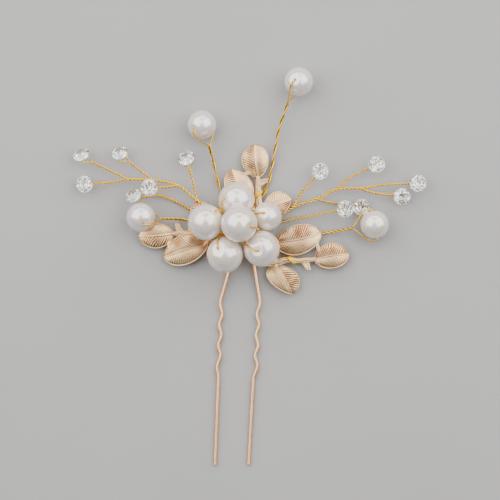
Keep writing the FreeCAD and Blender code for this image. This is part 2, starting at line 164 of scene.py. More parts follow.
RIGHT_FORKS = {
    "a": (12.0, 16.8, 1.6), "b": (18.9, 18.6, 2.2), "c": (24.3, 22.0, 2.6), "d": (30.6, 21.6, 2.6),
}
# Each row: the stone's centre, its tilt and azimuth, then the twig's points from its root.
STONES = {
    "l1": ((-46.7, 30.9, 4.0), 50, 110, LEFT_FORKS["c"], [(-38.6, 26.6, 2.6)]),
    "l2": ((-36.0, 31.4, 4.0), 45, 110, LEFT_FORKS["b"], [(-30.5, 26.6, 2.7)]),
    "l3": ((-45.8, 22.8, 3.6), 8, 200, LEFT_FORKS["c"], [(-38.6, 23.1, 2.4)]),
    "l4": ((-27.9, 21.8, 5.6), 8, 90, LEFT_FORKS["a"], [(-22.6, 21.9, 3.6)]),
    "l5": (
        (-32.3, 19.6, 4.2), 45, 115, -8.6,
        [(-6.9, 8.9, 0.6), (-16.4, 15.6, 0.8), (-20.2, 17.9, 0.9), (-25.7, 20.1, 1.0), (-28.9, 19.2, 1.2)],
    ),
    "l6": ((-17.6, 30.0, 4.2), 34, 115, LEFT_FORKS["low"], [(-15.7, 23.0, 2.8)]),
    "r1": ((19.4, 26.3, 4.2), 7, 130, RIGHT_FORKS["a"], [(14.7, 21.2, 2.0)]),
    "r2": ((35.1, 28.2, 4.0), 8, 140, RIGHT_FORKS["c"], [(28.0, 25.3, 2.6)]),
    "r3": ((46.5, 23.0, 3.8), 6, 0, RIGHT_FORKS["d"], [(36.0, 22.8, 2.5)]),
    "r4": ((42.1, 19.4, 3.6), 16, 300, RIGHT_FORKS["d"], [(34.5, 20.0, 2.2)]),
    "r5": (
        (26.3, 15.9, 5.4), 6, 90, 7.9,
        [(4.6, 10.4, 0.8), (8.6, 12.6, 0.9), (17.9, 14.2, 2.4), (21.4, 15.0, 3.5)],
    ),
    "r6": ((30.8, 16.5, 2.2), 4, 320, RIGHT_FORKS["b"], [(21.4, 17.7, 1.6), (25.0, 17.5, 1.1)]),
}
MAIN_STEMS = {
    "left": (
        -4.9,
        [(-8.4, 14.2, 3.4), (-11.0, 15.7, 3.7), LEFT_FORKS["low"], (-17.6, 20.9, 2.8), LEFT_FORKS["a"],
         (-23.6, 23.5, 2.6), LEFT_FORKS["b"], LEFT_FORKS["c"]],
    ),
    "right": (
        5.1,
        [(4.4, 12.4, 0.8), (8.8, 14.2, 0.9), RIGHT_FORKS["a"], RIGHT_FORKS["b"], RIGHT_FORKS["c"],
         RIGHT_FORKS["d"]],
    ),
}
# Each branch: the end leaf's tip, its heading, its stretch, its side leaf (its stalk's bend, its
# base and its tip), u at its stub and at its lashing, and the stations where its stalk and its
# lashing's tail reach the crown.
BRANCHES = {
    "top": (
        (1.3, 33.7), 95.6, 0.93, ((2.9, 2.3), (3.4, 4.8), (15.5, 6.9)), 10.3, 7.2, 3.9, 2.8,
    ),
    "left": (
        (-30.9, 8.3), 184.6, 1.0, ((1.9, 2.6), (3.0, 3.7), (15.5, 6.4)), 10.3, 7.0, -6.4, -7.5,
    ),
    "right": (
        (27.5, 3.4), 8.6, 1.0, ((1.9, 5.1), (1.8, 6.2), (15.3, 6.7)), 9.5, 5.9, 15.2, 14.0,
    ),
}
# Each branch: its random seed, how far its stalk bows to the left near the root, the widths of its
# end leaf and side leaf, how blunt the end leaf's tip is, and the sides of its end leaf, side leaf
# and third leaf that are painted with shade.
BRANCH_LOOKS = {
    "top": (1, 0.4, 7.6, 7.8, 0.50, (1, 1, -1)),
    "left": (2, 0.4, 7.1, 8.5, 0.60, (1, -1, 1)),
    "right": (3, 1.3, 7.4, 8.5, 0.60, (1, 1, 1)),
}


# ---- Materials ----
class Shader:
    """A material with one Principled shader, and short ways to feed its sockets."""

    def __init__(self, name):
        self.material = bpy.data.materials.new(name)
        self.material.use_nodes = True
        self.nodes = self.material.node_tree.nodes
        self.links = self.material.node_tree.links
        self.main = self.nodes["Principled BSDF"]
        self.place = self.nodes.new("ShaderNodeTexCoord").outputs["Object"]

    def set(self, **values):
        """Sets sockets of the main shader. An underscore stands for a space in a socket's name."""
        for name, value in values.items():
            self.main.inputs[name.replace("_", " ")].default_value = value

    def noise(self, size, detail=2.0, stretch=(1, 1, 1)):
        """Noise whose blotches are about size millimetres across."""
        mapping = self.nodes.new("ShaderNodeMapping")
        mapping.inputs["Scale"].default_value = stretch
        self.links.new(self.place, mapping.inputs["Vector"])
        texture = self.nodes.new("ShaderNodeTexNoise")
        texture.inputs["Scale"].default_value = 1 / (size * MM)
        texture.inputs["Detail"].default_value = detail
        self.links.new(mapping.outputs["Vector"], texture.inputs["Vector"])
        return texture.outputs["Fac"]

    def attribute(self, name):
        node = self.nodes.new("ShaderNodeAttribute")
        node.attribute_name = name
        return node.outputs["Fac"]

    def ramp(self, value, *stops):
        """A colour ramp. Each stop is a position and a colour or a grey."""
        node = self.nodes.new("ShaderNodeValToRGB")
        while len(node.color_ramp.elements) < len(stops):
            node.color_ramp.elements.new(0.5)
        for element, (position, colour) in zip(node.color_ramp.elements, stops):
            element.position = position
            if isinstance(colour, (int, float)):
                colour = (colour, colour, colour)
            element.color = (*colour, 1)
        self.links.new(value, node.inputs["Fac"])
        return node.outputs["Color"]

    def mix(self, factor, first, second, blend="MIX"):
        node = self.nodes.new("ShaderNodeMix")
        node.data_type = "RGBA"
        node.blend_type = blend
        factor_socket, first_socket, second_socket = node.inputs[0], node.inputs[6], node.inputs[7]
        for socket, value in ((factor_socket, factor), (first_socket, first), (second_socket, second)):
            if hasattr(value, "is_linked"):
                self.links.new(value, socket)
            elif isinstance(value, (int, float)):
                socket.default_value = value
            else:
                socket.default_value = (*value, 1)
        return node.outputs[2]

    def feed(self, socket, value):
        self.links.new(value, self.main.inputs[socket])

    def bump(self, height, depth, strength=1.0):
        node = self.nodes.new("ShaderNodeBump")
        node.inputs["Strength"].default_value = strength
        node.inputs["Distance"].default_value = depth * MM
        self.links.new(height, node.inputs["Height"])
        self.links.new(node.outputs["Normal"], self.main.inputs["Normal"])


def wire_material():
    s = Shader("gold_wire")
    s.set(Metallic=1.0)
    tone = s.ramp(s.noise(3.0), (0.3, (1.0, 0.56, 0.02)), (0.7, (1.0, 0.66, 0.05)))
    # Painted shade: the gold turns deep brown where a strand is marked as lying in the shade of its twist.
    s.feed("Base Color", s.mix(s.attribute("crease_shade"), tone, (0.40, 0.11, 0.003)))
    s.feed("Roughness", s.ramp(s.noise(0.6), (0.3, 0.20), (0.75, 0.34)))
    s.bump(s.noise(0.25, 3.0), 0.012, 0.5)
    return s.material


def leaf_material():
    s = Shader("stamped_leaf")
    s.set(Metallic=1.0)
    tone = s.ramp(
        s.noise(2.5, 3.0), (0.3, (0.96, 0.58, 0.27)), (0.55, (1.0, 0.70, 0.38)), (0.8, (1.0, 0.79, 0.50)),
    )
    # Painted shade: leaves and stalks turn deep brown where they are marked as shaded, in grooves, beside
    # the midribs, on each leaf's shaded half and a little on the undersides.
    s.feed("Base Color", s.mix(s.attribute("shaded_groove"), tone, (0.20, 0.055, 0.018)))
    s.feed("Roughness", s.ramp(s.noise(0.8, 3.0), (0.3, 0.30), (0.75, 0.46)))
    s.bump(s.noise(0.16, 4.0), 0.02, 0.6)
    return s.material


def pin_material():
    s = Shader("rose_gold_pin")
    s.set(Metallic=1.0)
    tone = s.ramp(s.noise(6.0, 2.0), (0.3, (0.95, 0.50, 0.23)), (0.75, (1.0, 0.60, 0.31)))
    s.feed("Base Color", tone)
    drawn = s.noise(0.12, 3.0, (1, 0.04, 1))
    s.feed("Roughness", s.ramp(drawn, (0.3, 0.22), (0.75, 0.38)))
    s.bump(drawn, 0.01, 0.5)
    return s.material


def pearl_material():
    s = Shader("pearl")
    tone = s.ramp(
        s.noise(5.0, 1.5), (0.3, (0.97, 0.86, 0.70)), (0.5, (0.97, 0.90, 0.82)), (0.7, (0.95, 0.85, 0.85)),
    )
    s.feed("Base Color", tone)
    s.set(Subsurface_Weight=0.15, Subsurface_Radius=(1.0, 0.75, 0.6), Subsurface_Scale=0.6 * MM)
    s.set(Metallic=0.28, IOR=1.8, Specular_IOR_Level=0.8)
    s.feed("Roughness", s.ramp(s.noise(1.6, 3.0), (0.3, 0.22), (0.7, 0.30)))
    s.set(Coat_Weight=1.0, Coat_Roughness=0.14, Coat_IOR=1.8, Coat_Tint=(1.0, 0.97, 0.96, 1))
    s.set(Sheen_Weight=0.15, Sheen_Roughness=0.5, Sheen_Tint=(0.95, 0.80, 0.95, 1))
    s.bump(s.noise(0.5, 2.0), 0.004, 0.4)
    return s.material


def crystal_material():
    s = Shader("crystal")
    s.set(Transmission_Weight=1.0, IOR=1.95, Base_Color=(0.98, 0.985, 1.0, 1))
    s.feed("Roughness", s.ramp(s.noise(0.9, 2.0), (0.4, 0.0), (0.8, 0.03)))
    return s.material


def floor_material():
    s = Shader("floor")
    tone = s.ramp(s.noise(60.0, 3.0), (0.3, (0.385, 0.38, 0.373)), (0.7, (0.405, 0.40, 0.393)))
    s.feed("Base Color", tone)
    s.feed("Roughness", s.ramp(s.noise(4.0, 3.0), (0.3, 0.55), (0.7, 0.68)))
    return s.material


WIRE = wire_material()
LEAF = leaf_material()
PIN = pin_material()
PEARL = pearl_material()
CRYSTAL = crystal_material()


# ---- Mesh building ----
class Build:
    """Points, faces and shading values for the points, gathered before a mesh is made."""

    def __init__(self):
        self.points = []
        self.faces = []
        self.values = []

    def ring(self, points, values=()):
        start = len(self.points)
        self.points.extend(points)
        self.values.extend(values)
        return list(range(start, start + len(points)))

    def bridge(self, first, second):
        count = len(first)
        for k in range(count):
            n = (k + 1) % count
            self.faces.append((first[k], first[n], second[n], second[k]))

    def object(self, name, material, attribute=None, smooth=True):
        mesh = bpy.data.meshes.new(name)
        mesh.from_pydata([p * MM for p in self.points], [], self.faces)
        mesh.validate()
        if attribute:
            layer = mesh.attributes.new(attribute, "FLOAT", "POINT")
            layer.data.foreach_set("value", self.values)
        if smooth:
            mesh.shade_smooth()
        else:
            mesh.shade_flat()
        mesh.materials.append(material)
        obj = bpy.data.objects.new(name, mesh)
        bpy.context.scene.collection.objects.link(obj)
        return obj


def finish_piece(obj, body, node):
    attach(obj, body)
    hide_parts(node)


# ---- Lines ----
def even(line, spacing):
    """The same line with evenly spaced points."""
    runs = [(b - a).length for a, b in zip(line, line[1:])]
    total = sum(runs)
    count = max(2, round(total / spacing))
    out = [line[0].copy()]
    i = 0
    walked = 0.0
    for k in range(1, count):
        target = total * k / count
        while walked + runs[i] < target:
            walked += runs[i]
            i += 1
        out.append(line[i].lerp(line[i + 1], (target - walked) / runs[i]))
    out.append(line[-1].copy())
    return out


def curve(corners, spacing=0.15):
    """A smooth line that touches each run between the corners at its middle."""
    corners = [Vector(c) for c in corners]
    if len(corners) == 2:
        return even(corners, spacing)
    steps = 16
    start = corners[0]
    line = [start]
    for i in range(1, len(corners) - 1):
        last = i == len(corners) - 2
        end = corners[-1] if last else (corners[i] + corners[i + 1]) / 2
        for k in range(1, steps + 1):
            t = k / steps
            line.append(start.lerp(corners[i], t).lerp(corners[i].lerp(end, t), t))
        start = end
    return even(line, spacing)


def tangents(line):
    out = []
    for i in range(len(line)):
        before = line[max(i - 1, 0)]
        after = line[min(i + 1, len(line) - 1)]
        out.append((after - before).normalized())
    return out


def side_directions(line, first):
    """A direction square to the line at each point, which turns no more than the line does."""
    out = []
    side = Vector(first)
    for tangent in tangents(line):
        side = (side - tangent * side.dot(tangent)).normalized()
        out.append(side)
    return out


def any_side(line):
    tangent = (line[1] - line[0]).normalized()
    return tangent.orthogonal()


def eased(line, middle, reach, rounds):
    """Rounds off the kink where two lines were joined, at the point numbered middle."""
    line = [p.copy() for p in line]
    low = max(1, middle - reach)
    high = min(len(line) - 1, middle + reach)
    for _ in range(rounds):
        before = [p.copy() for p in line]
        for i in range(low, high):
            line[i] = before[i] * 0.5 + (before[i - 1] + before[i + 1]) * 0.25
    return line


def add_tube(build, line, radius, sides=8, core=None):
    """A round wire with rounded ends. core is the line that the wire is twisted round, and the
    side of the wire that faces it is marked for painted shade, as if in the twist's shade."""
    directions = tangents(line)
    across = side_directions(line, any_side(line))
    # Each step: the point, and the ring's radius and its shift along the wire in wire radii.
    steps = [(0, 0.45, -0.85), (0, 0.85, -0.45)]
    steps += [(i, 1.0, 0.0) for i in range(len(line))]
    steps += [(len(line) - 1, 0.85, 0.45), (len(line) - 1, 0.45, 0.85)]
    rings = []
    for i, share, shift in steps:
        centre = line[i] + directions[i] * (radius * shift)
        other = directions[i].cross(across[i])
        inner = None
        if core is not None and core[i] is not None:
            inner = (core[i] - line[i]).normalized()
        points = []
        values = []
        for k in range(sides):
            angle = 2 * math.pi * k / sides
            out = across[i] * math.cos(angle) + other * math.sin(angle)
            points.append(centre + out * (radius * share))
            # Painted shade: how far this side of the strand faces the core, where the twist is in shade.
            values.append(0.9 * max(0.0, out.dot(inner)) ** 0.8 if inner is not None else 0.0)
        rings.append(build.ring(points, values))
    for first, second in zip(rings, rings[1:]):
        build.bridge(first, second)
    build.faces.append(tuple(reversed(rings[0])))
    build.faces.append(tuple(rings[-1]))


# ---- Winding on the crown ----
def station(along):
    """A point on the crown's centreline and its outward direction, measured from its top and
    positive towards the right leg."""
    quarter = CROWN_RADIUS * math.pi / 2
    side = 1 if along > 0 else -1
    if abs(along) > quarter:
        x = CROWN_CENTRE[0] + side * CROWN_RADIUS
        y = CROWN_CENTRE[1] - (abs(along) - quarter)
        return Vector((x, y, CROWN_HEIGHT)), Vector((side, 0, 0))
    angle = math.pi / 2 - along / CROWN_RADIUS
    outward = Vector((math.cos(angle), math.sin(angle), 0))
    middle = Vector((*CROWN_CENTRE, CROWN_HEIGHT))
    return middle + outward * CROWN_RADIUS, outward


def wrap(along, drift, start_angle, turns, radius, spacing=0.12):
    """Wire wound on the crown, from a station and an angle (degrees, from outward to up)."""
    reach = PIN_RADIUS + radius
    count = max(12, round(abs(turns) * 2 * math.pi * reach / spacing))
    line = []
    for k in range(count + 1):
        share = k / count
        middle, outward = station(along + drift * share)
        angle = math.radians(start_angle) + 2 * math.pi * turns * share
        line.append(middle + (outward * math.cos(angle) + UP * math.sin(angle)) * reach)
    return line


# ---- Pearls ----
def pearl_profile(radius, dimple, spread):
    """Corners of half a pearl's section, from one mouth to the other: (distance from the axis,
    height along it). Both mouths lie in a soft dimple."""
    lip = 0.16
    lip_steps = 5
    corners = []
    start = math.asin((PEARL_BORE + lip) / radius)
    top = radius * math.cos(start) - dimple
    for k in range(lip_steps):
        angle = math.pi / 2 * k / lip_steps
        corners.append((PEARL_BORE + lip - lip * math.cos(angle), top - lip + lip * math.sin(angle)))
    steps = 72
    for k in range(steps + 1):
        angle = start + (math.pi - 2 * start) * k / steps
        nearest = min(angle, math.pi - angle)
        depth = dimple * math.exp(-(((nearest - start) * radius / spread) ** 2))
        reach = radius - depth
        corners.append((reach * math.sin(angle), reach * math.cos(angle)))
    for distance, height in reversed(corners[:lip_steps]):
        corners.append((distance, -height))
    return corners


def pearl_radius(node):
    low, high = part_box(node)
    return (high - low).x / 2 / MM


def make_pearl(name, node, joint):
    low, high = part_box(node)
    radius = pearl_radius(node)
    centre = (Vector(low) + Vector(high)) / 2 / MM
    axis = Vector(joint["axis"]).normalized()
    side = axis.orthogonal().normalized()
    other = axis.cross(side)
    build = Build()
    around = 96
    rings = []
    for reach, height in pearl_profile(radius, *WIDE_DIMPLES.get(node, DIMPLE)):
        points = []
        for k in range(around):
            angle = 2 * math.pi * k / around
            out = side * math.cos(angle) + other * math.sin(angle)
            points.append(centre + axis * height + out * reach)
        rings.append(build.ring(points))
    for first, second in zip(rings, rings[1:] + rings[:1]):
        build.bridge(second, first)
    finish_piece(build.object(name, PEARL), node, node)


# ---- Wire round the pearls ----
def hug(middle, axis, reach, toward, end_angle):
    """Corners of a wire that leaves a pearl's mouth and lies round the pearl towards a direction."""
    across = (toward - axis * toward.dot(axis)).normalized()
    usual_step = math.radians(32)
    bulge = 1.05  # the line runs inside its corners, so they stand a little further out
    steps = max(1, round(end_angle / usual_step))
    corners = [middle + axis * reach]
    for i in range(1, steps + 1):
        angle = end_angle * i / steps
        aim = axis * math.cos(angle) + across * math.sin(angle)
        corners.append(middle + aim * (reach * bulge))
    return corners


def joint_of(node):
    return next(j for j in frame["joints"] if j["child"] == node)


def make_threaded_wire(name, along, way_up, side, way_down):
    """The wire of a pearl of the cluster: from the crown up to the hidden mouth, through the bore,
    round the pearl and back down, with turns on the crown at both ends."""
    node = "pearl_" + name
    joint = joint_of(node)
    radius = pearl_radius(node)
    middle = Vector(joint["pos_m"]) / MM
    axis = Vector(joint["axis"]).normalized()
    reach = radius + MOUTH_GAP
    inside = radius - BORE_INSET
    side = Vector(side)
    past_side = math.radians(15)
    over = hug(middle, axis, reach, side, axis.angle(side) + past_side)
    half = WINDING_PITCH / 2
    sign = -1 if along > 0 else 1
    stations = (along - half * sign, along + half * sign)
    starts = [station(s)[0] + UP * (PIN_RADIUS + THREAD) for s in stations]
    corners = [starts[0]] + way_up
    corners += [middle - axis * reach, middle - axis * inside, middle + axis * inside]
    corners += over + way_down + [starts[1]]
    line = curve(corners)
    drift = 0.42
    turns = 1.3
    ways = []
    for at, nearby, way in ((stations[0], corners[1], -sign), (stations[1], corners[-2], sign)):
        middle_there, outward = station(at)
        turning = 1 if (Vector(nearby) - middle_there).dot(outward) > 0 else -1
        ways.append(wrap(at, way * drift, 90, turns * turning, THREAD))
    whole = ways[0][::-1] + line[1:-1] + ways[1]
    whole = eased(whole, len(ways[0]), 6, 10)
    whole = eased(whole, len(whole) - len(ways[1]), 6, 10)
    build = Build()
    add_tube(build, whole, THREAD, 10)
    obj = build.object("thread_" + name, WIRE, "crease_shade")
    finish_piece(obj, "spray", "wire_pearl_" + name)


# ---- Twisted wire ----
def twisted(line, strand, pitch, end_side, seed):
    """Two strands twisted about a line, which end to either side of its last point."""
    back = line[::-1]
    sides = side_directions(back, end_side)
    ways = tangents(back)
    first = []
    second = []
    walked = 0.0
    for i, point in enumerate(back):
        if i:
            walked += (point - back[i - 1]).length
        wander = 0.5 * noise.noise(Vector((walked / 4.0, seed, 0.3)))
        angle = 2 * math.pi * walked / pitch + wander * min(1.0, walked / 2)
        out = sides[i] * math.cos(angle) + ways[i].cross(sides[i]) * math.sin(angle)
        first.append(point + out * strand)
        second.append(point - out * strand)
    return first[::-1], second[::-1]


def folded_wire(line, strand, pitch, loop_corners, seed):
    """One wire folded in half: it runs up one side of a twist, round a loop and back down the
    other side. loop_corners run from the twist's end round to the twist's end."""
    end_side = Vector(loop_corners[0]) - Vector(loop_corners[-1])
    first, second = twisted(line, strand, pitch, end_side, seed)
    loop = curve([first[-1]] + loop_corners + [second[-1]])
    whole = first + loop[1:-1] + second[::-1]
    core = line + [None] * (len(loop) - 2) + line[::-1]
    whole = eased(whole, len(first), 5, 8)
    whole = eased(whole, len(whole) - len(second), 5, 8)
    return whole, core


def with_tails(whole, core, along, strand):
    """Adds a turn on the crown to each end of a folded wire."""
    drift = 0.45
    turns = 1.2
    ways = [wrap(along, -drift, 0, turns, strand), wrap(along, drift, 0, -turns, strand)]
    joined = ways[0][::-1] + whole + ways[1]
    core = [None] * len(ways[0]) + core + [None] * len(ways[1])
    joined = eased(joined, len(ways[0]), 5, 10)
    joined = eased(joined, len(joined) - len(ways[1]), 5, 10)
    return joined, core


def crown_side(along, radius):
    middle, outward = station(along)
    return middle + outward * (PIN_RADIUS + radius)


def make_long_stem(name, along, route, pitch, seed):
    """A twisted stem whose wire forks at its end and runs round and through its pearl."""
    node = "pearl_stem_" + name
    joint = joint_of(node)
    radius = pearl_radius(node)
    middle = Vector(joint["pos_m"]) / MM
    axis = Vector(joint["axis"]).normalized()
    reach = radius + MOUTH_GAP
    inside = radius - BORE_INSET
    fork = Vector(route[-1])
    arm = fork - middle
    slack = math.acos(reach / arm.length)
    over = hug(middle, axis, reach, arm, axis.angle(arm) - slack)
    under = hug(middle, -axis, reach, arm, (-axis).angle(arm) - slack)
    loop = over[::-1] + [middle + axis * inside, middle - axis * inside] + under
    line = curve([crown_side(along, STEM_STRAND)] + route)
    whole, core = folded_wire(line, STEM_STRAND, pitch, loop, seed)
    whole, core = with_tails(whole, core, along, STEM_STRAND)
    build = Build()
    add_tube(build, whole, STEM_STRAND, 10, core)
    obj = build.object("stem_wire_" + name, WIRE, "crease_shade")
    finish_piece(obj, "spray", "stem_" + name)


def make_main_stem(name, along, route, seed):
    """A sprig's twisted main stem, whose wire is folded back at its end."""
    line = curve([crown_side(along, STEM_STRAND)] + route)
    first, second = twisted(line, STEM_STRAND, SPRIG_PITCH, UP, seed)
    whole = first + second[::-1]
    core = line + line[::-1]
    whole = eased(whole, len(first), 3, 4)
    whole, core = with_tails(whole, core, along, STEM_STRAND)
    build = Build()
    add_tube(build, whole, STEM_STRAND, 10, core)
    obj = build.object("sprig_wire_" + name, WIRE, "crease_shade")
    finish_piece(obj, "spray", "sprig_" + name)


# ---- Stones ----
def facing(tilt, azimuth):
    """The direction tilted from straight up by so many degrees, towards an azimuth."""
    tilt = math.radians(tilt)
    azimuth = math.radians(azimuth)
    level = math.sin(tilt)
    return Vector((level * math.cos(azimuth), level * math.sin(azimuth), math.cos(tilt)))


def stone_axes(centre, tilt, azimuth, before):
    """A stone's facing direction, its bore direction, the bore's middle and the twig's end."""
    face = facing(tilt, azimuth)
    middle = centre - face * STONE_BORE_DROP
    aim = before - middle
    aim -= face * max(0, aim.dot(face))
    return face, face.cross(aim).normalized(), middle, middle + aim.normalized() * STONE_LOOP_LENGTH


def brilliant():
    """A round brilliant cut: corners and flat facets, with its table up."""
    girdle = 2.33
    table = 1.30
    top = 0.93
    half = 0.08
    middle_reach = 1.92
    drop = (half - top) / (girdle - table)
    middle_height = top + (middle_reach * math.cos(math.pi / 8) - table) * drop
    tip = -2.03
    lower_reach = 0.62
    slope = (-half - tip) / girdle
    lower_height = tip + lower_reach * math.cos(math.pi / 8) * slope

    def circle(count, reach, height, turn=0.0):
        angles = [2 * math.pi * (k + turn) / count for k in range(count)]
        return [Vector((reach * math.cos(a), reach * math.sin(a), height)) for a in angles]

    corners = circle(8, table, top) + circle(8, middle_reach, middle_height, 0.5)
    corners += circle(16, girdle, half) + circle(16, girdle, -half)
    corners += circle(8, lower_reach, lower_height, 0.5) + [Vector((0, 0, tip))]
    t, m, g, b, p, c = 0, 8, 16, 32, 48, 56
    faces = [tuple(range(8))]
    for k in range(8):
        n = (k + 1) % 8
        q = (k - 1) % 8
        g0, g1, g2 = 2 * k, 2 * k + 1, (2 * k + 2) % 16
        faces.append((t + k, m + k, t + n))
        faces.append((t + k, m + q, g + g0, m + k))
        faces.append((m + k, g + g0, g + g1))
        faces.append((m + k, g + g1, g + g2))
        faces.append((g + g0, b + g0, b + g1, g + g1))
        faces.append((g + g1, b + g1, b + g2, g + g2))
        faces.append((b + g0, p + k, b + g1))
        faces.append((b + g1, p + k, b + g2))
        faces.append((b + g0, p + q, c, p + k))
    return corners, faces


def make_stone(name, centre, face, bore):
    """A brilliant with its bore drilled across it below the girdle."""
    drill_radius = 0.2
    drill_half = 3
    corners, faces = brilliant()
    turn = UP.rotation_difference(face)
    build = Build()
    build.points = [centre + turn @ p for p in corners]
    build.faces = faces
    obj = build.object("brilliant_" + name, CRYSTAL, smooth=False)
    drill = Build()
    middle = centre - face * STONE_BORE_DROP
    add_tube(drill, [middle - bore * drill_half, middle, middle + bore * drill_half], drill_radius, 12)
    cutter = drill.object("drill_" + name, CRYSTAL)
    cut = obj.modifiers.new("bore", "BOOLEAN")
    cut.operation = "DIFFERENCE"
    cut.object = cutter
    cut.solver = "EXACT"
    shape = obj.evaluated_get(bpy.context.evaluated_depsgraph_get())
    mesh = bpy.data.meshes.new_from_object(shape)
    obj.modifiers.clear()
    obj.data = mesh
    bpy.data.objects.remove(cutter)
    finish_piece(obj, "spray", "crystal_" + name)


def make_twig(name, centre, tilt, azimuth, root, route, seed):
    """A stone and the twisted twig whose loop runs through it. A root that is a number is a station
    on the crown, and any other root is a fork of the sprig."""
    centre = Vector(centre)
    face, bore, middle, joint = stone_axes(centre, tilt, azimuth, Vector(route[-1]))
    on_crown = isinstance(root, float)
    start = crown_side(root, TWIG_STRAND) if on_crown else Vector(root)
    line = curve([start] + route + [joint])
    back = (joint - middle).normalized()
    loop = [
        middle + bore * STONE_LOOP_HALF + back * STONE_LOOP_SHOULDER,
        middle + bore * STONE_LOOP_HALF,
        middle - bore * STONE_LOOP_HALF,
        middle - bore * STONE_LOOP_HALF + back * STONE_LOOP_SHOULDER,
    ]
    whole, core = folded_wire(line, TWIG_STRAND, TWIG_PITCH, loop, seed)
    if on_crown:
        whole, core = with_tails(whole, core, root, TWIG_STRAND)
    build = Build()
    add_tube(build, whole, TWIG_STRAND, 8, core)
    obj = build.object("twig_wire_" + name, WIRE, "crease_shade")
    finish_piece(obj, "spray", "twig_" + name)
    make_stone(name, centre, face, bore)


# ---- Leaves ----
def branch_place(tip, heading, stretch):
    """A function from a branch's local u (to its tip), v (left) and w (up) to a point."""
    angle = math.radians(heading)
    along = Vector((math.cos(angle), math.sin(angle), 0))
    left = Vector((-math.sin(angle), math.cos(angle), 0))
    root = Vector((tip[0], tip[1], LEAF_PLANE)) - along * (BRANCH_LENGTH * stretch)

    def place(u, v, w=0.0):
        return root + along * (u * stretch) + left * v + UP * w

    return place


def bell(distance, width):
    return math.exp(-((distance / width) ** 2))


def add_leaf(build, base, tip, width, bend, seed, shade_side, blunt, lean):
    """A stamped leaf: a domed sheet with a midrib, side veins, a raised rim and a scalloped edge.
    Shade is painted into its vein grooves, its rim groove and a line beside its midrib, and in
    patches on its shaded side, 1 for the left, where the painted shade and the vein relief are
    deepest. Its left half is widest nearer the tip and narrower than the other by as much as it
    leans."""
    along = tip - base
    length = along.length
    along = along / length
    left = UP.cross(along)
    dome = 1.5 * length
    rise = dome - math.sqrt(dome**2 - length**2 / 4)
    columns = 150
    rows = 36
    vein_spacing = 0.66
    vein_slant = 0.80
    tops = []
    bottoms = []
    for i in range(columns + 1):
        even_share = i / columns
        u = 0.45 * even_share + 0.55 * (1 - math.cos(math.pi * even_share)) / 2
        x = u * length
        reaches = {}
        for side in (-1, 1):
            swell = 0.62 + 0.30 * lean * side
            end = blunt - 0.12 * lean * side
            widest = swell / (swell + end)
            peak = widest**swell * (1 - widest) ** end
            half = width / 2 * (1 - 0.075 * lean * side)
            reach = half * (max(u, 0.0) ** swell * max(1 - u, 0.0) ** end) / peak
            reaches[side] = max(reach, 0.45 * (1 - u), 0.05)
        spine = bend * math.sin(math.pi * u)
        top_row = []
        bottom_row = []
        top_values = []
        for j in range(-rows, rows + 1):
            v = j / rows
            side = 1 if v >= 0 else -1
            reach = reaches[side]
            away = abs(v) * reach
            inset = reach - away
            drift = 0.55 * noise.noise(Vector((x * 0.5, v * 2.2, seed * 3.1)))
            vein = (x - vein_slant * away + 0.05 * away**2) / vein_spacing + drift
            vein += 0.4 if side > 0 else 0
            wave = 0.5 + 0.5 * math.cos(2 * math.pi * vein)
            scallop = 0.040 * bell(u - 0.86, 0.22) + 0.010
            edge = 1 + scallop * (wave - 0.6) * abs(v) ** 3
            y = spine + v * reach * edge
            patch = 0.62 + 0.75 * noise.noise(Vector((x * 0.30, y * 0.30, seed)))
            depth = max(0.12, min(1.0, patch)) * (1.0 if side == shade_side else 0.55)
            depth *= min(1.0, away / 0.5) * min(1.0, max(0.0, inset - 0.15) / 0.4)
            relief = 0.09 * (wave**1.4 - 0.45) * depth
            relief += 0.10 * bell(away, 0.17)
            relief += 0.13 * math.sin(math.pi * min(1.0, abs(v))) * min(1.0, reach / 2)
            relief += 0.08 * bell(inset - 0.16, 0.13) - 0.05 * bell(inset - 0.42, 0.12)
            relief -= 0.08 * max(0.0, 0.06 - inset) / 0.06
            xm = x - length / 2
            height = rise - dome + math.sqrt(dome**2 - xm**2 - y**2) + relief
            point = base + along * x + left * y + UP * height
            top_row.append(point)
            bottom_row.append(point - UP * (LEAF_SHEET if abs(j) < rows else LEAF_SHEET * 0.75))
            # Painted shade: patches on the shaded half, shade in the vein grooves that is deepest on the
            # shaded half, a shadow line beside the midrib ridge and shade in the groove inside the rim.
            shade = max(0.0, noise.noise(Vector((x * 0.45, y * 0.45, seed + 7.7))) + 0.18)
            shade *= math.sin(math.pi * abs(v)) * (1.0 if side == shade_side else 0.3)
            painted_shade = 1.5 * (1 - wave) ** 1.6 * depth + 0.9 * shade
            painted_shade += 0.85 * bell(v * reach - 0.20 * shade_side, 0.12) * (1 - 0.5 * u)
            painted_shade += 0.40 * bell(inset - 0.44, 0.12) * (1.0 if side == shade_side else 0.4)
            top_values.append(max(0.0, min(1.0, painted_shade)))
        tops.append(build.ring(top_row, top_values))
        # The underside is darkened evenly, a quarter of the way to the shade colour.
        bottoms.append(build.ring(bottom_row, [0.25] * len(bottom_row)))
    close_sheet(build, tops, bottoms)


def close_sheet(build, tops, bottoms):
    """Faces of a closed sheet from two grids of points."""
    rows = len(tops[0]) - 1
    grid = zip(tops, tops[1:], bottoms, bottoms[1:])
    for top, next_top, bottom, next_bottom in grid:
        for j in range(rows):
            build.faces.append((top[j], next_top[j], next_top[j + 1], top[j + 1]))
            build.faces.append((bottom[j], bottom[j + 1], next_bottom[j + 1], next_bottom[j]))
        build.faces.append((top[0], bottom[0], next_bottom[0], next_top[0]))
        build.faces.append((top[rows], next_top[rows], next_bottom[rows], bottom[rows]))
    top, bottom = tops[0], bottoms[0]
    last_top, last_bottom = tops[-1], bottoms[-1]
    for j in range(rows):
        build.faces.append((top[j], top[j + 1], bottom[j + 1], bottom[j]))
        build.faces.append((last_top[j], last_bottom[j], last_bottom[j + 1], last_top[j + 1]))


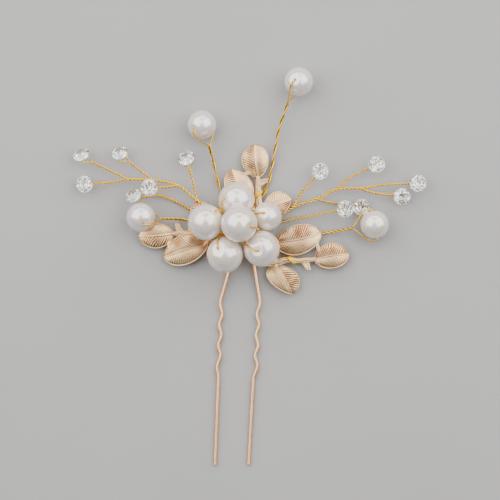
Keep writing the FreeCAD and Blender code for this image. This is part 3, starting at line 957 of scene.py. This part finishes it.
def add_stalk(build, corners, widths, thickness, seed):
    """A flat stalk with rounded edges and a grooved, slightly rough face."""
    line = curve(corners, 0.2)
    ways = tangents(line)
    tops = []
    bottoms = []
    rows = 8
    for i, point in enumerate(line):
        share = i / (len(line) - 1)
        left = UP.cross(ways[i]).normalized()
        up = ways[i].cross(left)
        at = share * (len(widths) - 1)
        k = min(int(at), len(widths) - 2)
        width = widths[k] + (widths[k + 1] - widths[k]) * (at - k)
        width *= 1 + 0.05 * noise.noise(Vector((share * 14, seed, 0)))
        top_row = []
        bottom_row = []
        values = []
        for j in range(-rows, rows + 1):
            v = j / rows
            crown = math.sqrt(max(0.0, 1 - abs(v) ** 3))
            grain = 0.03 * noise.noise(Vector((share * len(line) * 0.25, v * 3, seed + 5)))
            shaded_groove = 0.10 * bell(abs(v) - 0.42, 0.16) * min(1.0, width / 1.4)
            height = thickness / 2 * crown + grain - shaded_groove
            top_row.append(point + left * (v * width / 2) + up * height)
            bottom_row.append(point + left * (v * width / 2) - up * (thickness / 2 * crown))
            # Painted shade: the grooves and the low spots of the rough face are marked to be darkened, and
            # the underside is darkened evenly a little.
            values.append(min(1.0, 3.2 * shaded_groove + max(0.0, -8 * grain)))
        tops.append(build.ring(top_row, values))
        bottoms.append(build.ring(bottom_row, [0.2] * len(bottom_row)))
    close_sheet(build, tops, bottoms)


def make_branch(name, place, side_leaf, stub, crossing):
    """One stamped branch: its stalks, tab and split stub, and its three leaves."""
    seed, bow, end_width, side_width, end_blunt, shade_sides = BRANCH_LOOKS[name]
    bar, outward = station(crossing)
    over = UP * (LEAF_PLANE - 0.05 - bar.z)
    saddle_half = 0.9
    saddle = bar + outward * saddle_half + over
    behind = bar - outward * saddle_half + over
    elbow, side_base, side_tip = side_leaf
    build = Build()
    main = [behind, saddle, place(1.0, 0.2), place(4.6, bow)]
    main += [place(7.2, 0.35), place(9.6, 0.15, 0.1), place(12.6, 0.0, 0.3)]
    add_stalk(build, main, [1.4, 1.7, 1.9, 1.8, 1.6, 1.5, 1.1], 0.62, seed)
    side = [place(1.4, 0.2), place(*elbow), place(side_base[0] + 1.4, side_base[1] + 0.3, 0.25)]
    add_stalk(build, side, [1.3, 1.1, 0.9], 0.55, seed + 1)
    third = [place(1.4, 0.3), place(1.7, -0.5, 0.1), place(2.2, -1.6, 0.25)]
    add_stalk(build, third, [1.2, 1.0], 0.55, seed + 2)
    add_stalk(build, [place(*point) for point in TAB], [1.1, 0.9, 1.1], 0.3, seed + 3)
    near = [place(stub - 0.5, -0.1), place(stub, -1.3), place(stub + 0.5, -2.7)]
    far = [place(stub + 0.5, -0.1), place(stub + 0.95, -1.3), place(stub + 1.1, -2.9)]
    add_stalk(build, near, [1.3, 0.85, 0.6], 0.40, seed + 4)
    add_stalk(build, far, [1.3, 0.75, 0.5], 0.42, seed + 5)
    # Each leaf: its base and tip, width, bend, seed, side painted with shade, bluntness and lean.
    leaves = (
        (END_LEAF, end_width, 0.3, seed, shade_sides[0], end_blunt, 0.0),
        ((side_base, side_tip), side_width, -0.35, seed + 3, shade_sides[1], 0.60, 0.3),
        (THIRD_LEAF, THIRD_LEAF_WIDTH, 0.3, seed + 6, shade_sides[2], 0.66, 1.0),
    )
    for (base, tip), *looks in leaves:
        add_leaf(build, place(*base), place(*tip), *looks)
    obj = build.object("leaves_" + name, LEAF, "shaded_groove")
    finish_piece(obj, "spray", "leaf_branch_" + name)


def make_lashing(name, place, tied_at, along):
    """Gold wire tied slantwise round the flat stalk, with its tail run back to the crown."""
    bow = BRANCH_LOOKS[name][1]
    middle_v = 0.3 + 0.45 * (bow - 0.4)
    line = []
    count = 100
    for k in range(count + 1):
        share = k / count
        angle = math.radians(-90) + 2 * math.pi * LASHING_TURNS * share
        across = LASHING_REACH * math.cos(angle)
        u = tied_at - 0.5 + share - LASHING_SLANT * across
        line.append(place(u, middle_v + across, LASHING_HEIGHT * math.sin(angle)))
    tail = curve([line[0], place(4.4, 0.4, -0.62), place(2.2, 0.3, -0.62), crown_side(along, THREAD)])
    end = wrap(along, 0.4, 0, -1.3, THREAD)
    whole = line[::-1] + tail[1:-1] + end
    whole = eased(whole, len(line), 5, 8)
    whole = eased(whole, len(whole) - len(end), 5, 8)
    build = Build()
    add_tube(build, even(whole, 0.15), THREAD, 10)
    obj = build.object("lashing_" + name, WIRE, "crease_shade")
    finish_piece(obj, "spray", "leaf_lashing_" + name)


# ---- Making every piece ----
pin = frame["nodes"]["hair_pin"]
pin.data.materials.clear()
pin.data.materials.append(PIN)

winding = Build()
add_tube(winding, wrap(-1.6, 1.45, 250, 3.3, THREAD), THREAD, 10)
finish_piece(winding.object("crown_binding", WIRE, "crease_shade"), "spray", "crown_winding")

for body in frame["bodies"]:
    if body.startswith("pearl_"):
        make_pearl(body.replace("pearl_", "bead_"), body, joint_of(body))
for name, row in CLUSTER.items():
    make_threaded_wire(name, *row)
for number, (name, row) in enumerate(LONG_STEMS.items()):
    make_long_stem(name, *row, number + 1)
for number, (name, row) in enumerate(MAIN_STEMS.items()):
    make_main_stem(name, *row, number + 11)
for number, (name, row) in enumerate(STONES.items()):
    make_twig(name, *row, number + 21)
for name, (tip, heading, stretch, side_leaf, stub, tied_at, crossing, along) in BRANCHES.items():
    place = branch_place(tip, heading, stretch)
    make_branch(name, place, side_leaf, stub, crossing)
    make_lashing(name, place, tied_at, along)

# ---- Floor, lights and camera ----
bpy.ops.mesh.primitive_plane_add(size=4.0, location=(0, 0, 0))
floor = bpy.context.object
floor.name = "floor"
floor.data.materials.append(floor_material())
floor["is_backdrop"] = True

world = bpy.context.scene.world or bpy.data.worlds.new("studio")
bpy.context.scene.world = world
world.use_nodes = True
world.node_tree.nodes["Background"].inputs["Color"].default_value = (0.86, 0.84, 0.81, 1)
world.node_tree.nodes["Background"].inputs["Strength"].default_value = 0.20


def softbox(name, direction, distance, width, height, power):
    light = bpy.data.lights.new(name, "AREA")
    light.shape = "RECTANGLE"
    light.size = width
    light.size_y = height
    light.energy = power
    obj = bpy.data.objects.new(name, light)
    bpy.context.scene.collection.objects.link(obj)
    direction = Vector(direction).normalized()
    obj.location = direction * distance
    obj.rotation_euler = direction.to_track_quat("Z", "Y").to_euler()
    obj.visible_camera = False


softbox("softbox_left", (-0.60, 0.35, 0.72), 0.7, 0.80, 0.85, 7.5)
softbox("softbox_right", (0.60, 0.35, 0.72), 0.7, 0.80, 0.85, 7.5)
softbox("softbox_back", (0.0, 0.9, 0.45), 0.9, 0.7, 0.3, 2.0)

camera = bpy.data.cameras.new("camera")
camera.sensor_width = 36.0
camera.lens = 300.0
view_width = 138.5
view_middle = Vector((0, 4.54, 3.0))
distance = view_width * camera.lens / camera.sensor_width
eye = bpy.data.objects.new("camera", camera)
bpy.context.scene.collection.objects.link(eye)
eye.location = (view_middle + UP * distance) * MM
camera.clip_start = 0.01
camera.clip_end = 20.0
bpy.context.scene.camera = eye

bpy.context.view_layer.update()
visual_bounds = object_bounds()
sizes = {"cad": cad_bounds, "visual": visual_bounds}
{name: [list(corner) for corner in pair] for name, pair in sizes.items()}
